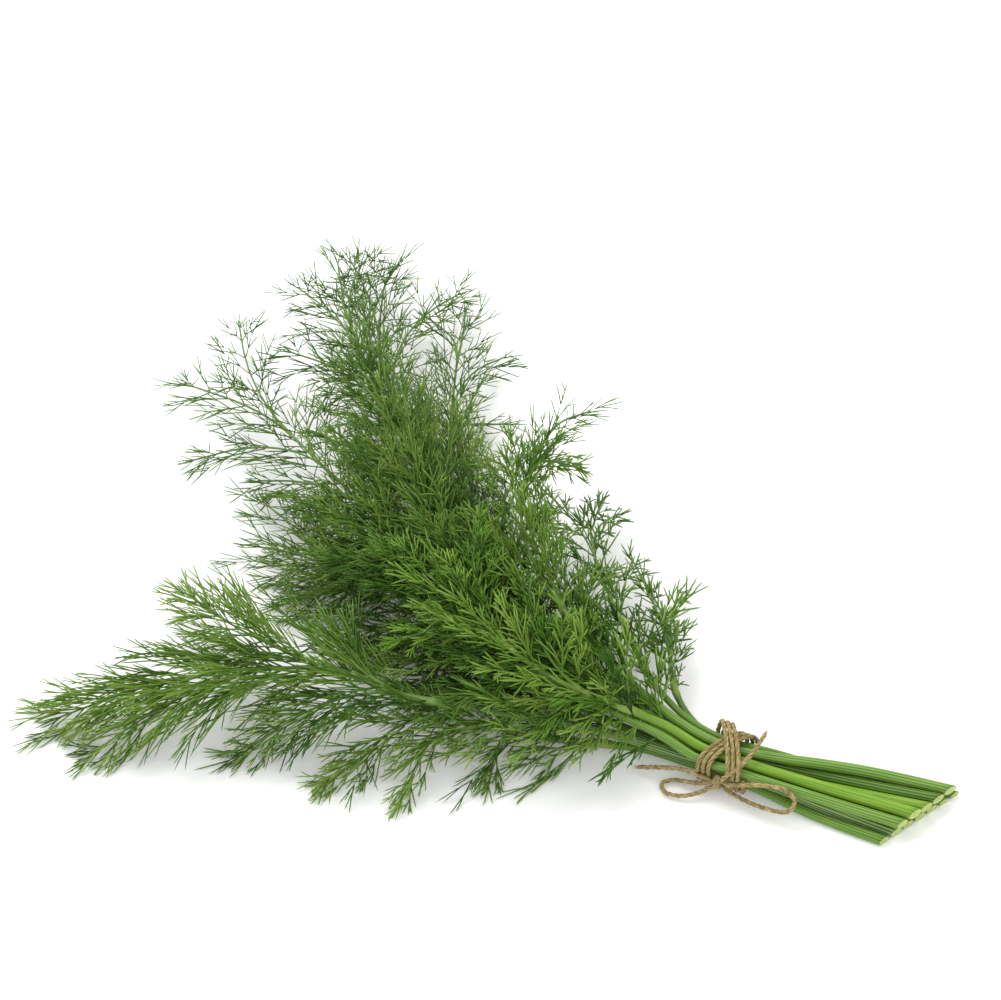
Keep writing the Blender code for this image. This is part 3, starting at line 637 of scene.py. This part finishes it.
def make_stalks(number, name, axes):
    """The stem and its frond stalks as one mesh, cut off on the slant at its foot."""
    soup = Soup()
    joints = [axis["parent"][1] for axis in axes if axis["stem"] == name and axis["parent"]]
    for axis in axes:
        if axis["stem"] != name:
            continue
        main = axis["parent"] is None
        line, radii = smoothed(axis["points"], axis["radii"], 2.5 if main else 3.0)
        run = travel(line)
        if not main:
            radii = radii * (0.72 + 0.6 * np.exp(-(run / 7)**2))
            pale = 0.35 * np.exp(-(run / 4)**2)
            marks = np.stack((pale, 0 * pale, np.clip(run / 12, 0, 0.9)), 1)
            soup.add_tube(line, radii, 12, marks, ridge=0.05, ribs=6.0)
            continue
        pale = np.zeros(len(line))
        leafy = axis["leafy"] + travel(axis["points"])[axis["at"]]
        radii = radii * (1 - 0.42 * np.clip((run - leafy) / 25, 0, 1))
        for at in travel(axis["points"])[joints]:
            radii = radii * (1 + 0.20 * np.exp(-((run - at) / 2.6)**2))
            pale += 0.6 * np.exp(-((run - at) / 1.8)**2) + 0.15 * np.exp(-((run - at - 5) / 4)**2)
        verts, quads = swept(line, radii, SIDES, RIB)
        core = cut_foot(verts, line)
        rim = soup.count
        flesh = rim + len(verts)
        pith, middle = flesh + SIDES, flesh + 2 * SIDES
        around = np.tile(np.arange(SIDES) / 2.0, len(line))
        leaf_green = np.clip((run - leafy + 45) / 45, 0, 0.9)
        marks = np.stack((np.clip(pale, 0, 1), 0 * pale, leaf_green), 1).repeat(SIDES, axis=0)
        blank = np.zeros(len(core))
        core_marks = np.stack((blank, np.repeat((1.0, 0.8, 0.55), (SIDES, SIDES, 1)), blank), 1)
        places = np.stack((around, np.repeat(run, SIDES)), 1)
        soup.add(np.concatenate((verts, core)), quads,
                 np.concatenate((places, np.stack((blank, blank), 1))), np.concatenate((marks, core_marks)))
        for j in range(SIDES):
            k = (j + 1) % SIDES
            soup.faces.append([rim + k, rim + j, flesh + j, flesh + k])
            soup.faces.append([flesh + k, flesh + j, pith + j, pith + k])
            soup.faces.append([pith + k, pith + j, middle])
        soup.faces.append([flesh - SIDES + j for j in range(SIDES)])
    made = soup.piece(f"dill_stem_{number:02d}_stalks", ["pale", "cut", "frond"], stem_finishes[SKINS[name]])
    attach(made, "root")
    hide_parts(f"dill_stem_{number:02d}")


stem_axes = settle(lay_out())
for number, name in enumerate(sorted(STEMS), 1):
    make_stalks(number, name, stem_axes)

# ---- Leaves -------------------------------------------------------------------------------
# Dill leaves are feathers of soft green threads: side stalks with pairs of forked threads, about
# half a millimetre wide. One thread is modelled, and copied in pairs along every frond.
def model_thread(name, cuts, slim):
    """A three-sided blade one unit long along Z, cut into bands and narrowed to its tip."""
    bpy.ops.object.select_all(action="DESELECT")
    bpy.ops.mesh.primitive_cylinder_add(vertices=3, radius=1.0, depth=1.0, location=(0, 0, 0.5))
    blade = bpy.context.object
    blade.name = name
    bpy.ops.object.transform_apply(location=True)
    bpy.ops.object.mode_set(mode="EDIT")
    for height in cuts:
        bpy.ops.mesh.select_all(action="SELECT")
        bpy.ops.mesh.bisect(plane_co=(0, 0, height), plane_no=(0, 0, 1))
    for height, size in zip(tuple(cuts) + (1.0,), slim + (0.0,)):
        bpy.ops.object.mode_set(mode="OBJECT")
        for vert in blade.data.vertices:
            vert.select = abs(vert.co.z - height) < 0.001
        for edge in blade.data.edges:
            edge.select = all(blade.data.vertices[v].select for v in edge.vertices)
        for face in blade.data.polygons:
            face.select = all(blade.data.vertices[v].select for v in face.vertices)
        bpy.ops.object.mode_set(mode="EDIT")
        if size > 0:
            bpy.ops.transform.resize(value=(size, size, 1.0))
        else:
            bpy.ops.mesh.merge(type="CENTER")
    bpy.ops.mesh.select_all(action="SELECT")
    bpy.ops.mesh.quads_convert_to_tris()
    bpy.ops.mesh.normals_make_consistent(inside=False)
    bpy.ops.object.mode_set(mode="OBJECT")
    verts = np.array([vert.co[:] for vert in blade.data.vertices])
    faces = np.array([face.vertices[:] for face in blade.data.polygons])
    mesh = blade.data
    bpy.data.objects.remove(blade)
    bpy.data.meshes.remove(mesh)
    return verts, faces


THREAD = model_thread("thread", (0.40, 0.80), (0.97, 0.84))
SIDE_STALK = model_thread("side_stalk", (0.2, 0.4, 0.6, 0.8), (0.92, 0.82, 0.7, 0.52))
CROWN = 46.0          # threads above this height lie down on one another,
CROWN_EASE = 7.0      # and none gets this much higher
REST = 0.25           # room under a thread that lies on the table
REST_EASE = 2.0       # threads this near to it begin to flatten out
DRY = 2.0             # tone of a dried brown thread
PALEST = 0.38         # the palest tone of a fresh one; 0 is dark


class Feather:
    """Collects the threads of one stem's leaves, then copies the modelled thread to each."""

    def __init__(self):
        self.rows = {True: [], False: []}

    def grow(self, root, way, length, thick, bend, tone, stalk=False):
        """One thread: where it starts, its first direction, length, radius, bend and tone."""
        if tone < DRY:
            tone = min(tone, PALEST)
        self.rows[stalk].append((*root, *way, length, thick, *bend, tone))

    def mesh(self, soup):
        """A copy of the modelled thread for each, bent, and kept off the table and the crown."""
        for stalk, (verts, faces) in ((True, SIDE_STALK), (False, THREAD)):
            rows = np.array(self.rows[stalk])
            if not len(rows):
                continue
            root, way, bend = rows[:, None, 0:3], rows[:, None, 3:6], rows[:, None, 8:11]
            length, thick, tone = rows[:, None, 6:7], rows[:, None, 7:8], rows[:, None, 11:12]
            t = verts[None, :, 2:3]
            middle = root + way * length * t + bend * t**2
            height = middle[..., 2:3]
            floor = thick + REST
            eased = floor + REST_EASE * np.exp(np.minimum((height - floor - REST_EASE) / REST_EASE, 0))
            middle[..., 2:3] = np.where(height < floor + REST_EASE, eased, height)
            high = np.maximum(middle[..., 2:3] - CROWN, 0.0)
            middle[..., 2:3] -= high - CROWN_EASE * (1 - np.exp(-high / CROWN_EASE))
            side = np.cross(way, (0.0, 0.0, 1.0))
            side = side / np.maximum(np.linalg.norm(side, axis=-1, keepdims=True), 0.001)
            over = np.cross(side, way)
            out = side * verts[None, :, 0:1] + over * verts[None, :, 1:2]
            placed = middle + out * thick
            shift = (np.arange(len(rows)) * len(verts))[:, None, None]
            marks = np.stack((np.repeat(tone, len(verts)), np.tile(verts[:, 2], len(rows))), 1)
            uv = np.tile(verts[:, 0::2], (len(rows), 1))
            soup.add(placed.reshape(-1, 3), (faces[None] + shift).reshape(-1, 3), uv, marks)


def unit(v):
    return v / np.linalg.norm(v)


def point_on(axis, distance):
    """Place and direction of an axis at a distance along it."""
    run, points = axis["run"], axis["points"]
    i = int(np.clip(np.searchsorted(run, distance) - 1, 0, len(points) - 2))
    u = (distance - run[i]) / (run[i + 1] - run[i])
    way = points[i + 1] - points[i]
    return points[i] + u * way, unit(way)


def leaning(along, lean, spin):
    """A direction that leans from along by one angle, turned round it by another."""
    side = unit(np.cross(along, (0.0, 0.0, 1.0)))
    over = np.cross(side, along)
    out = side * math.cos(spin) + over * math.sin(spin)
    return along * math.cos(lean) + out * math.sin(lean)


# Leaf habits: distance between pairs of side leaves, the longest side leaf, distance between pairs
# of threads, the threads' length on the smallest and the largest side leaf, thread radius, chance
# of each of two forks, least and most lean of a thread, sway and droop.
HABITS = {
    "plume": dict(pairs=5.6, side=34, threads=6.6, least=12.0, longest=25, thick=0.27, forks=(0.85, 0.35),
                  lean=(8, 22), sway=0.08, droop=0.05),
    "airy": dict(pairs=10.0, side=31, threads=7.8, least=10.5, longest=17, thick=0.21, forks=(0.6, 0.15),
                 lean=(15, 34), sway=0.08, droop=0.04),
    "dense": dict(pairs=5.6, side=34, threads=5.2, least=6.5, longest=16, thick=0.26, forks=(0.85, 0.5),
                  lean=(14, 38), sway=0.23, droop=0.07),
    "broad": dict(pairs=6.6, side=27, threads=5.0, least=6.0, longest=13, thick=0.35, forks=(0.85, 0.45),
                  lean=(16, 40), sway=0.19, droop=0.08),
    "open": dict(pairs=7.6, side=30, threads=6.6, least=9.0, longest=18, thick=0.30, forks=(0.85, 0.35),
                 lean=(14, 32), sway=0.16, droop=0.06),
    "sparse": dict(pairs=10.5, side=27, threads=8.0, least=8.0, longest=15, thick=0.30, forks=(0.85, 0.3),
                   lean=(18, 36), sway=0.12, droop=0.05),
}
# Beyond these distances from the tie the dense fronds thin out to the airy habit.
FAR = {"C": 148, "D": 150, "E": 190, "F": 160, "G": 158, "H": 119, "M": 150}
# Young, lighter leaves: a stem and the stretch of its frond, from the tie.
YOUNG = {"E": (142, 200), "G": (118, 140), "H": (70, 100)}
PALE_FROM = 105       # near leaves get paler from this distance outwards
LOW_PITCH = 2.9       # from one low leaf to the next


def leaf_thread(feather, root, way, length, habit, rng, tone):
    """A long thread that forks on its inner half; its forks lean the way it points."""
    droop = np.array((0.0, 0.0, -habit["droop"] * length * rng.uniform(0.0, 1.8)))
    sway = np.array([rng.uniform(-1, 1) for _ in range(3)]) * length * habit["sway"]
    bend = droop + sway
    thick = habit["thick"] * rng.uniform(0.85, 1.15)
    feather.grow(root, way, length, thick, bend, tone)
    for k, chance in enumerate(habit["forks"]):
        if rng.random() > chance:
            continue
        t = rng.uniform(0.12, 0.34) + 0.26 * k
        foot = root + way * length * t + bend * t * t
        heading = unit(way * length + 2 * bend * t)
        spin = math.pi * ((k + (rng.random() < 0.5)) % 2) + rng.uniform(-0.9, 0.9)
        lean = rng.uniform(0.75, 1.1) * rng.uniform(*habit["lean"])
        out = leaning(heading, math.radians(lean), spin)
        size = length * (1 - t) * rng.uniform(0.65, 1.02)
        feather.grow(foot, out, size, thick * 0.88, droop * 0.6 + sway * 0.5, tone)


def side_leaf(feather, root, way, forward, length, habit, rng, tone):
    """A side stalk that curves forward, with pairs of forked threads and a fan at its tip."""
    droop = np.array((0.0, 0.0, -habit["droop"] * length * rng.uniform(0.4, 1.5)))
    bend = droop + forward * length * rng.uniform(0.0, 0.16)
    thick = min(0.38, habit["thick"] * (1 + 0.017 * length))
    size = min(habit["longest"], habit["least"] + 0.36 * length)
    if length < 5.0:
        leaf_thread(feather, root, way, size, habit, rng, tone)
        return
    feather.grow(root, way, length, thick, bend, tone, stalk=True)
    pairs = max(1, round(length * 0.8 / habit["threads"]))
    for k in range(pairs):
        t = 0.14 + 0.72 * (k + 0.35) / pairs
        foot = root + way * length * t + bend * t * t
        heading = unit(way * length + 2 * bend * t)
        spin = (0.5 if k % 2 else -0.5) + rng.uniform(-0.6, 0.6)
        for side in (0.0, math.pi):
            lean = rng.uniform(*habit["lean"]) * (1.15 - 0.35 * t)
            out = leaning(heading, math.radians(lean), spin + side)
            reach = size * (1 - 0.35 * t) * rng.uniform(0.6, 1.08)
            leaf_thread(feather, foot, out, reach, habit, rng, tone + rng.uniform(-0.1, 0.1))
    foot = root + way * length * 0.92 + bend * 0.85
    heading = unit(way * length + 2 * bend)
    for spin in (0.6, 3.4):
        out = leaning(heading, math.radians(rng.uniform(4, 18)), spin)
        leaf_thread(feather, foot, out, 0.8 * size * rng.uniform(0.7, 1.0), habit, rng, tone)


def frond(feather, axis, kind, rng, tone):
    """Pairs of side leaves along one frond, long at its foot and short at its tip, a fan at the
    tip, and on a stem the low leaves below the frond."""
    first, last = axis["leafy"], axis["run"][-1]
    main = axis["parent"] is None
    span = last - first
    full = STEMS[axis["stem"]]["full"]
    longest = min(1.0, 0.42 + 0.0075 * span) * full * (1.0 if main else 0.86)
    at = first + 1.5
    turn = 0
    while at < last - 3:
        u = (at - first) / span
        root, along = point_on(axis, at)
        distance = math.hypot(root[0], root[1])
        far = kind == "dense" and distance > FAR[axis["stem"]]
        habit = HABITS["airy" if far else kind]
        paler = 0 if far else 0.18 * min(1.0, max(0.0, distance - PALE_FROM) / 40)
        young = YOUNG.get(axis["stem"], (0, 0))
        if main and young[0] < distance < young[1]:
            paler += 0.2
        spin = (0.55 if turn % 2 else -0.35) + rng.uniform(-0.45, 0.45)
        lean = (42 if far else 36) - 14 * u + rng.uniform(-7, 7)
        spins = [spin, spin + math.pi]
        if not far and kind != "sparse" and turn % 2:
            spins.append(math.pi / 2 + rng.uniform(-0.6, 0.6))
        for way_round in spins:
            way = leaning(along, math.radians(lean), way_round)
            length = habit["side"] * longest * (1 - 0.66 * u**1.3) * rng.uniform(0.7, 1.05)
            side_leaf(feather, root, way, along, length, habit, rng,
                      tone + paler + rng.uniform(-0.14, 0.14))
        at += habit["pairs"] * (1 - 0.2 * u)
        turn += 1
    root, along = point_on(axis, last - 1.5)
    for spin in (0.3, 2.4, 4.5):
        way = leaning(along, math.radians(rng.uniform(4, 20)), spin)
        leaf_thread(feather, root, way, 10.0, habit, rng, tone)
    if main:
        for at in np.arange(*STEMS[axis["stem"]]["low"], LOW_PITCH):
            habit = dict(HABITS[kind])
            habit["thick"] *= rng.uniform(0.85, 1.45)
            root, along = point_on(axis, at)
            way = leaning(along, math.radians(rng.uniform(18, 72)), rng.uniform(-0.8, math.pi + 0.8))
            length = rng.uniform(12, 22) + 11 * min(1.0, (at - 20) / 50)
            side_leaf(feather, root, way, along, length, habit, rng, tone + rng.uniform(-0.2, 0.2))


def leaf_finish(name, dark, middle, light):
    """Soft leaf green: each thread has its own tone, paler at the tip, mottled over the frond."""
    made, tree, shader = finish(name, 0.55, 0.22)
    tone = add_node(tree, "Attribute", attribute_name="tone")
    reach = add_node(tree, "Attribute", attribute_name="reach")
    place = add_node(tree, "TexCoord")
    patch = add_node(tree, "TexNoise", [("Scale", 70.0), ("Detail", 2.0)])
    mottled = add_node(tree, "Math", [(1, 0.5)], operation="MULTIPLY_ADD")
    tipped = add_node(tree, "Math", [(1, 0.12)], operation="MULTIPLY_ADD")
    shade = add_node(tree, "ValToRGB")
    shades(shade, (0.22, dark), (0.98, srgb(150, 96, 52)), (0.48, middle), (0.82, light))
    wire(tree,
         (place, "Object", patch, "Vector"), (patch, "Fac", mottled, 0), (tone, "Fac", mottled, 2),
         (reach, "Fac", tipped, 0), (mottled, "Value", tipped, 2), (tipped, "Value", shade, "Fac"),
         (shade, "Color", shader, "Base Color"))
    return made


leaf_finishes = {
    "deep": leaf_finish("leaf_deep", srgb(40, 72, 18), srgb(72, 112, 32), srgb(124, 156, 66)),
    "mid": leaf_finish("leaf_green", srgb(46, 80, 20), srgb(85, 125, 36), srgb(142, 172, 78)),
    "bright": leaf_finish("leaf_bright", srgb(58, 96, 22), srgb(96, 138, 38), srgb(140, 170, 74)),
}
# The stems whose leaves aren't of the dense habit or the usual tone.
HABIT_OF = {"A": "plume", "B": "open", "L": "broad", "J": "sparse", "I": "sparse"}
TONE_OF = {"A": 0.14, "B": 0.36}
# Loose sprays that hang over the stems: stem, distance from the tie, lean, turn round it, length.
SPRAYS = [("L", 36, 74, 3.6, 16), ("L", 40, 64, 3.7, 19), ("L", 44, 68, 3.5, 18), ("L", 47, 55, 3.1, 18),
          ("H", 26, 50, 0.4, 14), ("D", 66, 66, 3.2, 34), ("D", 76, 64, 3.0, 36), ("D", 86, 62, 3.3, 36),
          ("D", 96, 58, 3.1, 34), ("M", 66, 74, 3.0, 34), ("M", 76, 70, 3.2, 36), ("M", 86, 66, 3.1, 34),
          ("L", 58, 72, 3.2, 30), ("D", 104, 66, 3.0, 32), ("F", 108, 60, 3.2, 36),
          ("F", 120, 58, 3.0, 38), ("E", 112, 64, 3.2, 36), ("E", 124, 60, 3.1, 38),
          ("D", 116, 60, 3.2, 36), ("D", 126, 58, 3.1, 36), ("D", 92, 70, 3.6, 28), ("D", 98, 74, 3.7, 30),
          ("D", 106.5, 70, 3.6, 30), ("D", 112, 72, 3.7, 30), ("D", 120, 70, 3.6, 30),
          ("D", 101, 64, 3.9, 30), ("D", 109, 62, 3.9, 32), ("D", 116, 64, 4.0, 30)]
SPRAYS_OUT = 106      # beyond this they are dense and dark, and nearer the tie broad and pale


def sprays(feather, name, axis, rng):
    """The loose sprays of one stem."""
    for owner, at, lean, spin, length in SPRAYS:
        if owner != name:
            continue
        root, along = point_on(axis, at)
        way = leaning(along, math.radians(lean), spin)
        if at > SPRAYS_OUT:
            habit, tone = HABITS["dense"], 0.05 + rng.uniform(0, 0.2)
        else:
            habit, tone = HABITS["broad"], 0.24 + rng.uniform(0, 0.14)
        side_leaf(feather, root, way, along, length, habit, rng, tone)


for number, name in enumerate(sorted(STEMS), 1):
    rng = random.Random(100 + number)
    feather = Feather()
    for axis in stem_axes:
        if axis["stem"] != name:
            continue
        tone = TONE_OF.get(name, 0.19) + rng.uniform(-0.09, 0.09)
        frond(feather, axis, HABIT_OF.get(name, "dense"), rng, tone)
        if axis["parent"] is None:
            sprays(feather, name, axis, rng)
            if name == "A":
                root, along = point_on(axis, axis["run"][-1] - 9)
                feather.grow(root, leaning(along, 0.3, 0.6), 15.0, 0.24, np.zeros(3), DRY)
    soup = Soup()
    feather.mesh(soup)
    leaves = soup.piece(f"dill_stem_{number:02d}_leaves", ["tone", "reach"],
                        leaf_finishes[STEMS[name]["green"]])
    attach(leaves, "root")
    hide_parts(f"dill_stem_{number:02d}")

# ---- Turns and knot -----------------------------------------------------------------------
# The same twine goes six times round the stems, crossed over the top, and is knotted in front.
# The knot is two tight turns round the bow's halves.
TURNS = 3             # pairs of turns, one up each way
TURN_PITCH = 1.8      # from one pair to the next
TURN_SPREAD = 5.0     # how far each goes to the side as it crosses
CROSS_LIFT = 1.75     # how far the upper one of a pair rises at the crossing
TURN_POINTS = 20      # points on each turn


def wrap_outline(circles, clear):
    """The line that a taut twine takes round the stems, from the front over the top."""
    hull = []
    for k in range(72):
        angle = math.pi - 2 * math.pi * k / 72
        n = np.array((math.cos(angle), math.sin(angle)))
        y, z, r = max(circles, key=lambda c: c[0] * n[0] + c[1] * n[1] + c[2])
        hull.append(np.array((y, z)) + n * (r + clear))
    hull.append(hull[0])
    hull = np.array(hull)
    run = np.concatenate(([0], np.cumsum(np.sqrt((np.diff(hull, axis=0)**2).sum(1)))))
    return lambda u: np.array([np.interp((u % 1.0) * run[-1], run, hull[:, k]) for k in (0, 1)])


def ease_step(u):
    """A soft step from 0 to 1."""
    u = min(max(u, 0.0), 1.0)
    return u * u * (3 - 2 * u)


def wraps(axes):
    """The crossed turns: each goes over the top one way, and back the other way on the next."""
    circles = []
    for axis in axes:
        if axis["parent"] is None:
            points, radii = axis["points"][::-1], axis["radii"][::-1]
            for x in np.linspace(-TIE_HALF, TIE_HALF, 5):
                circles.append([np.interp(x, points[:, 0], v) for v in (points[:, 1], points[:, 2], radii)])
    under = wrap_outline(circles, GAP + SLACK + TWINE / 2)
    over = wrap_outline(circles, GAP + SLACK + TWINE / 2 + CROSS_LIFT)
    out = (TURNS - 1) / 2 * TURN_PITCH
    points = []
    for turn in range(2 * TURNS):
        upper = turn % 2 == 0
        shift = (turn // 2) * TURN_PITCH - out
        front = TURN_SPREAD + shift if upper else -TURN_SPREAD + shift
        back = -front + 2 * shift
        after = -TURN_SPREAD + shift if upper else TURN_SPREAD + shift + TURN_PITCH
        for k in range(TURN_POINTS):
            u = k / TURN_POINTS
            if u < 0.5:
                x = front + (back - front) * ease_step((u - 0.02) / 0.44)
            else:
                x = back + (after - back) * ease_step((u - 0.5) / 0.5)
            lift = 0.0
            if upper:
                lift = ease_step((u - 0.02) / 0.10) * ease_step((0.48 - u) / 0.10)
            y, z = under(u) * (1 - lift) + over(u) * lift
            points.append((x, y, z))
    points.append((TURN_SPREAD + shift + TURN_PITCH, *under(0.0)))
    return np.array(points)


soup = Soup()
rng = random.Random(11)
plied(soup, smooth_route(wraps(stem_axes), 0.5), rng)
around = np.linspace(0, 4 * math.pi, 90)
knot_line = np.stack((KNOT_AT[0] - 1.0 + 2.0 * around / (4 * math.pi),
                      KNOT_AT[1] + 1.45 * np.cos(around),
                      KNOT_AT[2] + 1.95 * np.sin(around)), 1)
plied(soup, knot_line, rng)
turns = soup.piece("twine_turns", ["tone"], jute)
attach(turns, "root")
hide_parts("twine")
